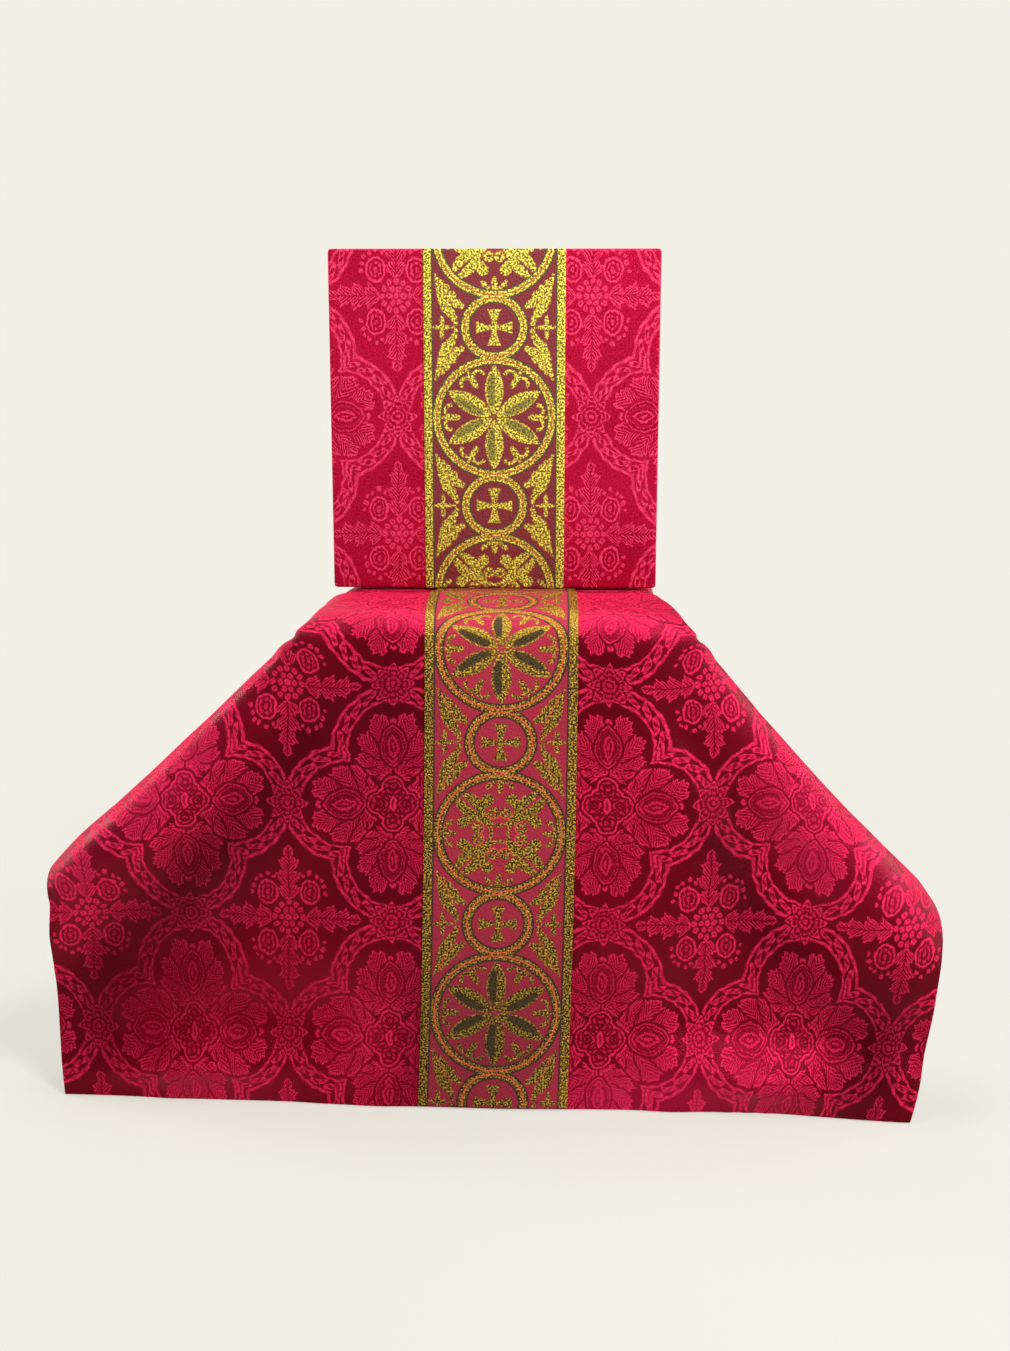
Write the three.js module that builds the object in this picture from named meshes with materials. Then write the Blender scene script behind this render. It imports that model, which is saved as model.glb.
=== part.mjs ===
// A square chalice veil draped over a covered stand, with its matching burse standing on top.
//
// The veil is one square of damask. It lies on a square board, its front sheet leans out to the
// floor over its whole width, and the spare cloth at each front corner is folded back into a wide
// ear. A woven orphrey runs down the middle of the veil and of the burse.
//
// Millimetres, +Z up, front towards -Y. The origin is on the floor under the middle of the box.
import * as THREE from 'three';

// ---------------------------------------------------------------- driving sizes

const veil = {
  side: 560, // the square as cut and hemmed
  wall: 1.2, // damask with its interlining
  frontDrop: 303, // cloth from the top's front edge to the front hem
  leanTop: 2, // degrees from upright just under the top
  leanHem: 9, // degrees from upright at the floor
  twist: 0.05, // how much further back the hem lies for each millimetre to the left
  kick: 12, // how far forward the hem's right end comes
  draw: { left: 20, right: 31 }, // how far waves near the hem draw each side edge inwards
  sway: -5, // how far the front hem hangs to one side
  soften: 9, // how far a crease spreads into the cloth
  crown: 4.5, // how far the front shoulder comes down to its ends
  sag: 9, // how far the stiff cloth comes down from its front shoulder to the board
  sagFrom: 52,
  sagTo: 116, // where it does so, behind the front edge
};

const support = {
  boardSpan: 210, // across the veil's top, cloth to cloth
  aside: -3, // from the veil's middle
  boardSide: 186,
  boardThick: 4,
  boardCorner: 18,
  footRadius: 72,
  cupRadius: 44,
};

const orphrey = { width: 90, thick: 0.9, endMargin: 2 };

const burse = {
  width: 210,
  height: 215.5,
  board: 3, // each stiffened panel with its cloth
  pocket: 9, // between the two panels
  corner: 4,
  roll: 1.1, // the rolled edge of a covered panel
  setBack: 124, // from the top's front edge to the burse's front face
  aside: -7.5, // from the veil's middle
};

const seam = 0.3; // left between touching pieces

// The ear at each front corner: the crease runs out and down from the board's corner.
const ears = {
  left: { crease: 42.8, bend: 4, spread: 0.032 },
  right: { crease: 44.4, bend: 4, spread: 0.056 },
};
const rearEar = { crease: 45, bend: 3.5, spread: 0.01 };

// Soft folds: place on the cloth, direction of the fold, half length, half width, and how far
// it stands out. `across` is from the middle, `up` is from the front hem.
const softFolds = [
  { across: -205, up: 96, turn: 24, length: 110, width: 34, out: -10 },
  { across: -245, up: 158, turn: 30, length: 60, width: 24, out: 6 },
  { across: -178, up: 26, turn: 3, length: 62, width: 20, out: 8 },
  { across: -70, up: 70, turn: 80, length: 120, width: 28, out: 4 },
  { across: 96, up: 66, turn: 100, length: 110, width: 30, out: 5 },
  { across: 150, up: 112, turn: 60, length: 90, width: 34, out: -7 },
  { across: 186, up: 24, turn: -3, length: 64, width: 20, out: 9 },
  { across: 240, up: 96, turn: 118, length: 70, width: 24, out: 6 },
  { across: -160, up: 420, turn: 4, length: 100, width: 28, out: 8 },
  { across: -200, up: 366, turn: 8, length: 80, width: 24, out: -7 },
  { across: -220, up: 478, turn: -6, length: 80, width: 24, out: -7 },
  { across: 170, up: 392, turn: -6, length: 100, width: 28, out: 8 },
  { across: 210, up: 444, turn: 3, length: 80, width: 26, out: -8 },
  { across: 200, up: 500, turn: 10, length: 70, width: 22, out: 6 },
  { across: 40, up: 545, turn: 96, length: 40, width: 30, out: 3 },
];

// Cells of the cloth's grid. Its lines meet the board's edges and the orphrey's edges.
const cells = { wing: 17, beside: 6, band: 6, front: 23, shoulder: 8, top: 14, rear: 4 };
const shoulderReach = 24; // of the finer rows on each side of the front edge

// ---------------------------------------------------------------- worked-out sizes

const radians = THREE.MathUtils.degToRad;
const half = support.boardSpan / 2;
const wingReach = veil.side / 2 - half;
const rearDrop = veil.side - veil.frontDrop - support.boardSpan;
const leanStart = radians(veil.leanTop);
const leanRate = (radians(veil.leanHem) - leanStart) / veil.frontDrop;
const hangOf = (down) => (Math.sin(leanStart + leanRate * down) - Math.sin(leanStart)) / leanRate;
const forwardOf = (down) => (Math.cos(leanStart) - Math.cos(leanStart + leanRate * down)) / leanRate;
const topHeight = hangOf(veil.frontDrop); // the cloth's middle, where it lies on the board
const boardTop = topHeight - veil.sag - veil.wall / 2 - seam;
const boardBottom = boardTop - support.boardThick;
const orphreyLift = veil.wall / 2 + seam + orphrey.thick / 2;
const burseFoot = topHeight - veil.sag + orphreyLift + orphrey.thick / 2 + seam;

// ---------------------------------------------------------------- the veil's form

// A rounded fold in section: `past` is the cloth's distance past the crease line. `reach` is the
// distance along the first layer, and `turn` goes from 0 on it to 1 on the layer behind.
function foldSection(past, radius) {
  const edge = (Math.PI * radius) / 2;
  if (past <= -edge) return { reach: past, turn: 0 };
  if (past >= edge) return { reach: -past, turn: 1 };
  const angle = (past + edge) / radius;
  return { reach: radius * Math.sin(angle) - edge, turn: (1 - Math.cos(angle)) / 2 };
}

// Folds the corner of cloth `out` past one edge and `down` past the other along an ear's crease.
function foldEar(ear, out, down) {
  const c = Math.cos(radians(ear.crease));
  const s = Math.sin(radians(ear.crease));
  const along = out * c + down * s;
  const bend = ear.bend * (1 - Math.exp(-Math.max(along, 0) / 12)) + ear.spread * Math.max(along, 0);
  const { reach, turn } = foldSection(out * s - down * c, Math.max(bend, 0.01));
  const shifted = { out: along * c + reach * s, down: along * s - reach * c, turn, bend };
  const width = Math.max(shifted.down * (c / s), 1e-6);
  shifted.share = THREE.MathUtils.clamp(shifted.out / width, 0, 1); // 1 at the crease
  return shifted;
}

const cornerSet = (ear, down) => 2 * ear.bend * (1 - Math.exp(-Math.max(down, 0) / 12));

// The veil with sharp creases at the board's edges. `across` runs over the full width from the
// middle, `up` runs along the cloth from the front hem.
function creasedForm(across, up) {
  const offset = across - support.aside;
  const side = offset < 0 ? -1 : 1;
  const ear = offset < 0 ? ears.left : ears.right;
  const beside = Math.abs(offset) - half;
  const sideways = (out) => support.aside + side * (half + out);
  const before = veil.frontDrop - up;
  const behind = -before - support.boardSpan;

  if (before >= 0) {
    if (beside <= 0) {
      return new THREE.Vector3(across, -half - forwardOf(before), topHeight - hangOf(before));
    }
    const f = foldEar(ear, beside, before);
    const corner = forwardOf(f.down) + cornerSet(ear, f.down);
    const gap = THREE.MathUtils.lerp(corner, 2 * f.bend, THREE.MathUtils.smoothstep(f.share, 0, 1));
    return new THREE.Vector3(
      sideways(f.out),
      -half - forwardOf(f.down) + f.turn * gap,
      topHeight - hangOf(f.down),
    );
  }
  if (behind <= 0) {
    if (beside <= 0) return new THREE.Vector3(across, -half - before, topHeight);
    const share = -before / support.boardSpan; // 0 at the front corner, 1 at the rear one
    const flare = beside * Math.cos(2 * radians(ear.crease)) * (1 - share);
    const down = beside * Math.sin(2 * radians(ear.crease));
    const forward = cornerSet(ear, down) * (1 - share);
    return new THREE.Vector3(sideways(flare), -half - before + forward, topHeight - hangOf(down));
  }
  if (beside <= 0) {
    const inset = cornerSet(rearEar, behind) / half;
    return new THREE.Vector3(support.aside + offset * (1 - inset), half, topHeight - behind);
  }
  const f = foldEar(rearEar, behind, beside);
  const gap = THREE.MathUtils.lerp(cornerSet(rearEar, f.down), 2 * f.bend, f.share);
  return new THREE.Vector3(sideways(-f.turn * gap), half + f.out, topHeight - hangOf(f.down));
}

// How far creases are softened at a place: everywhere but in an ear's own narrow fold.
function softenAt(across, up) {
  const beside = Math.abs(across - support.aside) - half;
  const before = veil.frontDrop - up;
  const behind = -before - support.boardSpan;
  const nearFold = (ear, out, down) => {
    const c = Math.cos(radians(ear.crease));
    const s = Math.sin(radians(ear.crease));
    const along = out * c + down * s;
    const past = Math.abs(out * s - down * c);
    const bent = (Math.PI / 2) * (ear.bend + ear.spread * Math.max(along, 0));
    return THREE.MathUtils.smoothstep(along, 12, 45) * (1 - THREE.MathUtils.smoothstep(past, bent, bent + 16));
  };
  const front = nearFold(across < 0 ? ears.left : ears.right, beside, before);
  const rear = nearFold(rearEar, behind, beside);
  return veil.soften * (1 - 0.85 * Math.max(front, rear));
}

// Sampling places of a small disc, as shares of its radius.
const disc = [[0, 0]];
for (const [count, reach] of [[6, 0.5], [12, 0.95]]) {
  for (let k = 0; k < count; k++) {
    const angle = (2 * Math.PI * k) / count;
    disc.push([reach * Math.cos(angle), reach * Math.sin(angle)]);
  }
}

function softForm(across, up) {
  const radius = softenAt(across, up);
  const sum = new THREE.Vector3();
  for (const [a, b] of disc) sum.add(creasedForm(across + radius * a, up + radius * b));
  return sum.divideScalar(disc.length);
}

function normalOf(form, across, up, step = 2) {
  const acrossWay = form(across + step, up).sub(form(across - step, up));
  const upWay = form(across, up + step).sub(form(across, up - step));
  return acrossWay.cross(upWay).normalize();
}

function softFoldOut(across, up) {
  let out = 0;
  for (const fold of softFolds) {
    const c = Math.cos(radians(fold.turn));
    const s = Math.sin(radians(fold.turn));
    const along = ((across - fold.across) * c + (up - fold.up) * s) / fold.length;
    const aside = ((up - fold.up) * c - (across - fold.across) * s) / fold.width;
    out += fold.out * Math.exp(-along * along - aside * aside);
  }
  return out;
}

// The cloth's middle surface: soft creases, soft folds, the sag behind the front shoulder, and
// the front sheet's sway.
function veilForm(across, up) {
  const place = softForm(across, up);
  const normal = normalOf(softForm, across, up);
  const out = softFoldOut(across, up);
  place.x += normal.x * out;
  place.y += normal.y * out;
  place.z -= veil.sag * THREE.MathUtils.smoothstep(place.y + half, veil.sagFrom, veil.sagTo);
  const low = THREE.MathUtils.clamp(1 - place.z / topHeight, 0, 1);
  const offset = Math.abs(place.x - support.aside);
  const outward = Math.max(offset - half, 0) / wingReach;
  const draw = place.x < 0 ? veil.draw.left : -veil.draw.right;
  place.x += (veil.sway + draw * outward) * low * low;
  const inFront = 1 - THREE.MathUtils.smoothstep(place.y + half, 0, 60);
  const kick = veil.kick * THREE.MathUtils.smoothstep(place.x, 150, 250);
  place.y -= (veil.twist * Math.min(place.x, 0) + kick) * low * inFront;
  const end = (offset - half + 8) / 22;
  place.z -= veil.crown * Math.exp(-end * end) * (1 - Math.min(2 * low, 1)) * inFront;
  return place;
}

// ---------------------------------------------------------------- solids from a grid of cloth

function linesOf(...stretches) {
  const lines = [stretches[0].from];
  for (const { from, to, count } of stretches) {
    for (let k = 1; k <= count; k++) lines.push(from + ((to - from) * k) / count);
  }
  return lines;
}

const acrossLines = linesOf(
  { from: -veil.side / 2, to: support.aside - half, count: cells.wing },
  { from: support.aside - half, to: -orphrey.width / 2, count: cells.beside },
  { from: -orphrey.width / 2, to: orphrey.width / 2, count: cells.band },
  { from: orphrey.width / 2, to: support.aside + half, count: cells.beside },
  { from: support.aside + half, to: veil.side / 2, count: cells.wing },
);
const upLines = linesOf(
  { from: 0, to: veil.frontDrop - shoulderReach, count: cells.front },
  { from: veil.frontDrop - shoulderReach, to: veil.frontDrop + shoulderReach, count: cells.shoulder },
  { from: veil.frontDrop + shoulderReach, to: veil.side - rearDrop, count: cells.top },
  { from: veil.side - rearDrop, to: veil.side, count: cells.rear },
);

// A closed wall on the veil's form, `lift` out from its middle and `thick` through.
function clothWall(across, up, lift, thick) {
  const wide = across.length;
  const layers = [lift + thick / 2, lift - thick / 2];
  const positions = [];
  for (const offset of layers) {
    for (const v of up) {
      for (const u of across) {
        const place = veilForm(u, v).addScaledVector(normalOf(veilForm, u, v), offset);
        positions.push(place.x, place.y, Math.max(place.z, 0));
      }
    }
  }
  const count = wide * up.length;
  const index = [];
  const face = (a, b, c) => {
    index.push(a, b, c);
    index.push(a + count, c + count, b + count);
  };
  for (let j = 0; j + 1 < up.length; j++) {
    for (let i = 0; i + 1 < wide; i++) {
      const a = j * wide + i;
      const [b, c, d] = [a + 1, a + wide + 1, a + wide];
      const alongEar = across[i] + across[i + 1] > 0 === up[j] < veil.frontDrop + half;
      if (alongEar) {
        face(a, b, d);
        face(b, c, d);
      } else {
        face(a, b, c);
        face(a, c, d);
      }
    }
  }
  const rim = (a, b) => index.push(a, a + count, b + count, a, b + count, b);
  for (let i = 0; i + 1 < wide; i++) {
    rim(i, i + 1);
    rim(count - 1 - i, count - 2 - i);
  }
  for (let j = 0; j + 1 < up.length; j++) {
    rim((j + 1) * wide, j * wide);
    rim((j + 1) * wide - 1, (j + 2) * wide - 1);
  }
  const geometry = new THREE.BufferGeometry();
  geometry.setAttribute('position', new THREE.Float32BufferAttribute(positions, 3));
  geometry.setIndex(index);
  return geometry;
}

// ---------------------------------------------------------------- stiff pieces

function roundedOutline(width, height, radius) {
  const x = width / 2;
  const y = height / 2;
  const outline = new THREE.Shape();
  outline.moveTo(-x + radius, -y);
  outline.lineTo(x - radius, -y);
  outline.absarc(x - radius, -y + radius, radius, -Math.PI / 2, 0, false);
  outline.lineTo(x, y - radius);
  outline.absarc(x - radius, y - radius, radius, 0, Math.PI / 2, false);
  outline.lineTo(-x + radius, y);
  outline.absarc(-x + radius, y - radius, radius, Math.PI / 2, Math.PI, false);
  outline.lineTo(-x, -y + radius);
  outline.absarc(-x + radius, -y + radius, radius, Math.PI, 1.5 * Math.PI, false);
  return outline;
}

// A stiffened panel with rolled edges, lying in XY and centred on the origin.
function coveredPanel(width, height, thick, corner, roll) {
  const outline = roundedOutline(width - 2 * roll, height - 2 * roll, corner);
  const panel = new THREE.ExtrudeGeometry(outline, {
    depth: thick - 2 * roll,
    bevelThickness: roll,
    bevelSize: roll,
    bevelSegments: 2,
    curveSegments: 4,
  });
  return panel.translate(0, 0, roll - thick / 2);
}

// The stand: a turned foot, stem with a knop, and a cup closed under the board.
function turnedStand() {
  const top = boardBottom - seam;
  const profile = [
    [0, 0],
    [support.footRadius, 0],
    [support.footRadius, 5],
    [support.footRadius - 6, 11],
    [46, 20],
    [26, 34],
    [15, 56],
    [12, 86],
    [12, 104],
    [21, 114],
    [27, 126],
    [21, 138],
    [12, 148],
    [12, 178],
    [17, 196],
    [30, 214],
    [39, 236],
    [support.cupRadius - 1, 262],
    [support.cupRadius, top - 4],
    [support.cupRadius - 1, top],
    [0, top],
  ];
  const turned = new THREE.LatheGeometry(
    profile.map(([radius, height]) => new THREE.Vector2(radius, height)),
    32,
  );
  return turned.rotateX(Math.PI / 2);
}

// A gusset: a strip folded inwards between the two panels, in plan, drawn up to `height`.
function gusset(side, height) {
  const reach = burse.pocket / 2 - seam;
  const outer = burse.width / 2 - burse.roll - 1;
  const tuck = 9;
  const thick = 1;
  const outline = new THREE.Shape();
  outline.moveTo(outer, -reach);
  outline.lineTo(outer - tuck, 0);
  outline.lineTo(outer, reach);
  outline.lineTo(outer - 1.6 * thick, reach);
  outline.lineTo(outer - tuck - 1.6 * thick, 0);
  outline.lineTo(outer - 1.6 * thick, -reach);
  const strip = new THREE.ExtrudeGeometry(outline, { depth: height, bevelEnabled: false });
  return side > 0 ? strip : strip.rotateZ(Math.PI);
}

// The spine: cloth that joins both panels under the pocket.
function spine(width) {
  const depth = burse.pocket - 2 * seam;
  return new THREE.BoxGeometry(width, depth, burse.board, 1, 1, 1);
}

// ---------------------------------------------------------------- pieces

const finishes = {
  damask: { color: 0xa5123a, roughness: 0.42, metalness: 0 },
  burseDamask: { color: 0xcf1a4d, roughness: 0.45, metalness: 0 },
  veilOrphrey: { color: 0x8a6a24, roughness: 0.5, metalness: 0.4 },
  burseOrphrey: { color: 0xd8b83a, roughness: 0.45, metalness: 0.5 },
  linen: { color: 0xefe9dc, roughness: 0.85, metalness: 0 },
  wood: { color: 0xb98a55, roughness: 0.55, metalness: 0 },
};

const group = new THREE.Group();

function piece(name, geometry, finish, place = [0, 0, 0]) {
  const mesh = new THREE.Mesh(geometry, new THREE.MeshStandardMaterial(finishes[finish]));
  mesh.name = name;
  mesh.position.set(...place);
  group.add(mesh);
  return mesh;
}

function addVeil() {
  piece('veil', clothWall(acrossLines, upLines, 0, veil.wall), 'damask');
  const onOrphrey = (u) => Math.abs(u) < orphrey.width / 2 + 0.01;
  const rows = [...upLines];
  rows[0] += orphrey.endMargin;
  rows[rows.length - 1] -= orphrey.endMargin;
  const strip = clothWall(acrossLines.filter(onOrphrey), rows, orphreyLift, orphrey.thick);
  piece('veil_orphrey', strip, 'veilOrphrey');
}

function addStand() {
  piece('stand', turnedStand(), 'wood', [support.aside, 0, 0]);
  const board = coveredPanel(support.boardSide, support.boardSide, support.boardThick, support.boardCorner, 1.5);
  piece('board', board, 'linen', [support.aside, 0, boardTop - support.boardThick / 2]);
}

function addBurse() {
  const x = burse.aside;
  const frontFace = -half + burse.setBack;
  const middle = burseFoot + burse.height / 2;
  const panelGap = burse.pocket + burse.board;
  const frontY = frontFace + burse.board / 2;
  for (const [name, y] of [['burse_front', frontY], ['burse_back', frontY + panelGap]]) {
    const panel = coveredPanel(burse.width, burse.height, burse.board, burse.corner, burse.roll);
    piece(name, panel.rotateX(Math.PI / 2), 'burseDamask', [x, y, middle]);
  }
  const pocketY = frontY + panelGap / 2;
  const spineWidth = burse.width - 2 * burse.corner;
  piece('burse_spine', spine(spineWidth), 'burseDamask', [x, pocketY, burseFoot + 1 + burse.board / 2]);
  const gussetFoot = burseFoot + 1 + burse.board + seam;
  const gussetHeight = burseFoot + burse.height - 4 - gussetFoot;
  for (const [name, side] of [['burse_gusset_left', -1], ['burse_gusset_right', 1]]) {
    piece(name, gusset(side, gussetHeight), 'burseDamask', [x, pocketY, gussetFoot]);
  }
  const strip = coveredPanel(orphrey.width, burse.height, orphrey.thick, 0.8, 0.3).rotateX(Math.PI / 2);
  piece('burse_orphrey', strip, 'burseOrphrey', [x, frontFace - seam - orphrey.thick / 2, middle]);
}

addStand();
addVeil();
addBurse();

// Puts the origin on the floor under the middle of the box.
const box = new THREE.Box3().setFromObject(group);
group.position.set(-(box.min.x + box.max.x) / 2, -(box.min.y + box.max.y) / 2, 0);

export default group;
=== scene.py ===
from math import cos, pi, radians, sin

import bpy
import numpy as np
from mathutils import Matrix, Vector


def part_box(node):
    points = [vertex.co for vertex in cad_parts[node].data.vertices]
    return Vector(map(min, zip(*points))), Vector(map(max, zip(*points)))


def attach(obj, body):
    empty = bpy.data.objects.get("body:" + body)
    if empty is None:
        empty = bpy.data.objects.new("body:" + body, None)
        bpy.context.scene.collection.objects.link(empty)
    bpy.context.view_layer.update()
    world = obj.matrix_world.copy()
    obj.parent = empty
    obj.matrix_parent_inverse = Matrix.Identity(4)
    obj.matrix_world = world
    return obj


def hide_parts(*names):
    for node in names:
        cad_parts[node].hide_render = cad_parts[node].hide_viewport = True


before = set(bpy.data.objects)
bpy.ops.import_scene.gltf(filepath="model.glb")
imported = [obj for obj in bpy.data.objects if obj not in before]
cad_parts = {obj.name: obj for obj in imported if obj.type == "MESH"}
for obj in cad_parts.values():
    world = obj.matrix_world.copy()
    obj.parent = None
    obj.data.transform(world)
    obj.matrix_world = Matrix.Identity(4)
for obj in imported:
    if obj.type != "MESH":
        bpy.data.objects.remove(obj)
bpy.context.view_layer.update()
bpy.ops.object.select_all(action="DESELECT")
print("frame loaded")

# the view and the light
studio = {
    "cameraAt": (0.0309, -1.1073, 0.479),
    "turn": 1.3,
    "tilt": 12.2,
    "lens": 46.39,
    "paper": (0.896, 0.871, 0.799),
    "floor": (0.57, 0.562, 0.535),
    "ambient": 0.16,
    "glowFrom": 0.25,
    "glowOver": 0.7,
    "glowLeast": 0.6,
    # name, place, aimed at, wide, high, watts, colour
    "lamps": [
        ("key", (0.36, -0.7, 1.2), (0.0, 0.0, 0.2), 0.3, 0.3, 14, (1.0, 0.99, 0.97)),
        ("side", (1.3, -0.3, 0.75), (0.0, 0.0, 0.2), 0.4, 0.5, 7, (1.0, 0.99, 0.98)),
        ("rimLeft", (-1.2, 0.35, 0.75), (0.0, 0.0, 0.2), 0.3, 0.6, 7, (1.0, 0.99, 0.98)),
        ("rimRight", (1.2, 0.5, 0.75), (0.0, 0.0, 0.2), 0.3, 0.6, 4, (1.0, 0.99, 0.98)),
        ("top", (-0.2, 0.1, 1.5), (0.0, -0.05, 0.3), 0.8, 0.4, 11, (1.0, 0.99, 0.98)),
        ("behind", (-0.7, 1.3, 0.9), (0.0, 0.0, 0.25), 0.9, 0.9, 4, (1.0, 0.98, 0.96)),
    ],
}


def setUpStudio():
    data = bpy.data.cameras.new("camera")
    data.lens, data.sensor_width = studio["lens"], 36
    camera = bpy.data.objects.new("camera", data)
    bpy.context.collection.objects.link(camera)
    camera.location = studio["cameraAt"]
    camera.rotation_euler = (radians(90 - studio["tilt"]), 0, radians(studio["turn"]))
    bpy.context.scene.camera = camera
    bpy.context.scene.view_settings.view_transform = "Standard"
    for name, place, target, wide, high, watts, colour in studio["lamps"]:
        light = bpy.data.lights.new(name, "AREA")
        light.shape, light.size, light.size_y = "RECTANGLE", wide, high
        light.energy, light.color = watts, colour
        lamp = bpy.data.objects.new(name, light)
        bpy.context.collection.objects.link(lamp)
        lamp.location = place
        lamp.rotation_euler = (Vector(target) - Vector(place)).to_track_quat("-Z", "Y").to_euler()
    world = bpy.data.worlds.new("room")
    world.use_nodes = True
    room = world.node_tree.nodes["Background"]
    room.inputs["Color"].default_value = (*studio["paper"], 1)
    seen = world.node_tree.nodes.new("ShaderNodeLightPath").outputs["Is Camera Ray"]
    level = world.node_tree.nodes.new("ShaderNodeMapRange")
    level.inputs["To Min"].default_value = studio["ambient"]
    world.node_tree.links.new(seen, level.inputs["Value"])
    world.node_tree.links.new(level.outputs["Result"], room.inputs["Strength"])
    bpy.context.scene.world = world


setUpStudio()


# shader maths: a wrapped socket, so that a pattern reads as plain sums
def setSockets(tree, node, sockets):
    for name, value in sockets.items():
        entry = node.inputs[name]
        if isinstance(value, Knot):
            tree.links.new(value.socket, entry)
        elif hasattr(value, "__len__") and len(value) == 3 and len(entry.default_value) == 4:
            entry.default_value = (*value, 1)
        else:
            entry.default_value = value


class Knot:
    def __init__(self, tree, socket):
        self.tree, self.socket = tree, socket

    def node(self, kind, settings=None, sockets=None, out=0):
        made = self.tree.nodes.new(kind)
        for name, value in (settings or {}).items():
            setattr(made, name, value)
        setSockets(self.tree, made, sockets or {})
        return Knot(self.tree, made.outputs[out])

    def math(self, operation, *values, clamp=False):
        settings = {"operation": operation, "use_clamp": clamp}
        return self.node("ShaderNodeMath", settings, dict(enumerate(values)))

    def __add__(self, other):
        return self.math("ADD", self, other)

    def __radd__(self, other):
        return self.math("ADD", other, self)

    def __sub__(self, other):
        return self.math("SUBTRACT", self, other)

    def __rsub__(self, other):
        return self.math("SUBTRACT", other, self)

    def __mul__(self, other):
        return self.math("MULTIPLY", self, other)

    def __rmul__(self, other):
        return self.math("MULTIPLY", other, self)

    def __truediv__(self, other):
        return self.math("DIVIDE", self, other)

    def __abs__(self):
        return self.math("ABSOLUTE", self)

    def __neg__(self):
        return self.math("MULTIPLY", self, -1.0)

    def tint(self, under, over):
        # `under` where this mask is 0, `over` where it is 1
        return self.node("ShaderNodeMix", {"data_type": "RGBA"}, {0: self, 6: under, 7: over}, out=2)


def low(a, b):
    return (a if isinstance(a, Knot) else b).math("MINIMUM", a, b)


def high(a, b):
    return (a if isinstance(a, Knot) else b).math("MAXIMUM", a, b)


def root(a):
    return a.math("SQRT", a)


def power(a, b):
    return a.math("POWER", high(a, 0.0), b)


def sine(a):
    return a.math("SINE", a)


def cosine(a):
    return a.math("COSINE", a)


def angleOf(y, x):
    return y.math("ARCTAN2", y, x)


def fold(a, halfRepeat):
    return a.math("PINGPONG", a, halfRepeat)


def above(a, edge):
    return a.math("GREATER_THAN", a, edge)


def unit(a):
    return a.math("ADD", a, 0.0, clamp=True)


def distance(x, y):
    return root(x * x + y * y)


def soft(field, width):
    return unit(field / width + 0.5)


def blend(first, second, amount):
    return first + (second - first) * amount


def spots(x, y, table):
    field = None
    for cx, cy, radius in table:
        spot = radius - distance(x - cx, y - cy)
        field = spot if field is None else high(field, spot)
    return field


def oval(x, y, cx, cy, rx, ry):
    return (1 - distance((x - cx) / rx, (y - cy) / ry)) * min(rx, ry)


def newMaterial(name):
    # the knot is the shader's own output
    material = bpy.data.materials.new(name)
    material.use_nodes = True
    tree = material.node_tree
    return material, Knot(tree, tree.nodes["Principled BSDF"].outputs[0])


def feed(shader, **sockets):
    named = {name.replace("_", " "): value for name, value in sockets.items()}
    setSockets(shader.tree, shader.socket.node, named)


def partsOf(knot, vector):
    split = knot.node("ShaderNodeSeparateXYZ", sockets={0: vector}).socket.node
    return [Knot(knot.tree, part) for part in split.outputs]


# the two woven patterns, in millimetres
orphreyWeave = {
    "stripe": 39.9,  # from the middle to the gold border
    "bigRing": (34.6, 39.0),
    "smallRing": (16.2, 20.8),
    "spacing": 57.5,
    "lineHalf": 0.42,  # half the width of the red line in each ring
    "lineOut": 0.1,  # of the ring's middle
    "petal": (1.6, 33.6, 5.9),
    "crossArm": (11.4, 1.3, 2.5),
    # x, y, radius: the half-leaf beside each small ring, its smooth back and its lobes
    "leafBack": [
        (24.4, 2.4, 1.5),
        (25.4, 5.6, 2.0),
        (27.6, 9.2, 2.9),
        (30.2, 12.8, 3.7),
        (32.0, 16.8, 3.5),
        (33.2, 20.6, 3.1),
        (34.1, 24.2, 2.6),
        (35.2, 27.4, 2.1),
        (36.2, 30.2, 1.5),
        (37.2, 32.8, 0.9),
    ],
    "leafLobes": [
        (21.0, 13.6, 1.9),
        (23.9, 15.2, 2.8),
        (27.2, 19.6, 3.4),
        (31.0, 24.4, 2.9),
        (33.4, 28.2, 1.8),
    ],
    # along the longer side, along the shorter side, radius: an eighth of the leaf cross
    "leafCross": [
        (8.6, 8.2, 3.0),
        (11.6, 10.4, 3.3),
        (15.4, 12.4, 3.6),
        (18.4, 13.6, 3.6),
        (21.0, 15.8, 3.3),
        (23.2, 18.4, 2.7),
        (24.8, 20.8, 1.9),
        (25.8, 22.8, 1.3),
        (18.2, 8.8, 2.6),
        (21.4, 7.2, 3.7),
    ],
    "leafTips": [
        (29.6, 0.0, 2.0),
        (27.0, 0.0, 1.4),
        (32.8, 1.0, 1.4),
        (32.6, 4.0, 1.3),
        (30.4, 6.4, 1.7),
        (28.8, 7.6, 1.0),
    ],
}


# fields are in millimetres: over 0 inside a motif, under 0 outside it
def flowerRoundel(x, across, y, big):
    # six petals with a dark half, and sprigs between them
    turn = angleOf(y, x)
    upright = above(turn, pi / 3)
    near, far, wide = orphreyWeave["petal"]
    aside = blend(big * sine(turn - pi / 6), across, upright)
    reach = blend(big * cosine(turn - pi / 6), y, upright)
    share = unit((reach - near) / (far - near))
    width = wide * power(sine(share * pi), 0.75)
    petals = width - abs(aside)
    core = low(0.44 * width - abs(aside + 0.36 * width), (0.32 - abs(share - 0.5)) * 30)
    between = fold(turn, pi / 6)
    sprigR, sprigS = big * cosine(between), big * sine(between)
    arch = 1.05 - abs(distance(sprigR - 27.6, sprigS - 4.3) - 3.7)
    sprigs = high(oval(sprigR, sprigS, 25.8, 0, 4.0, 1.9), low(arch, sprigR - 27.0))
    sprigs = high(sprigs, low(0.9 - sprigS, sprigR - 26))
    return high(petals, sprigs), core


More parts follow.
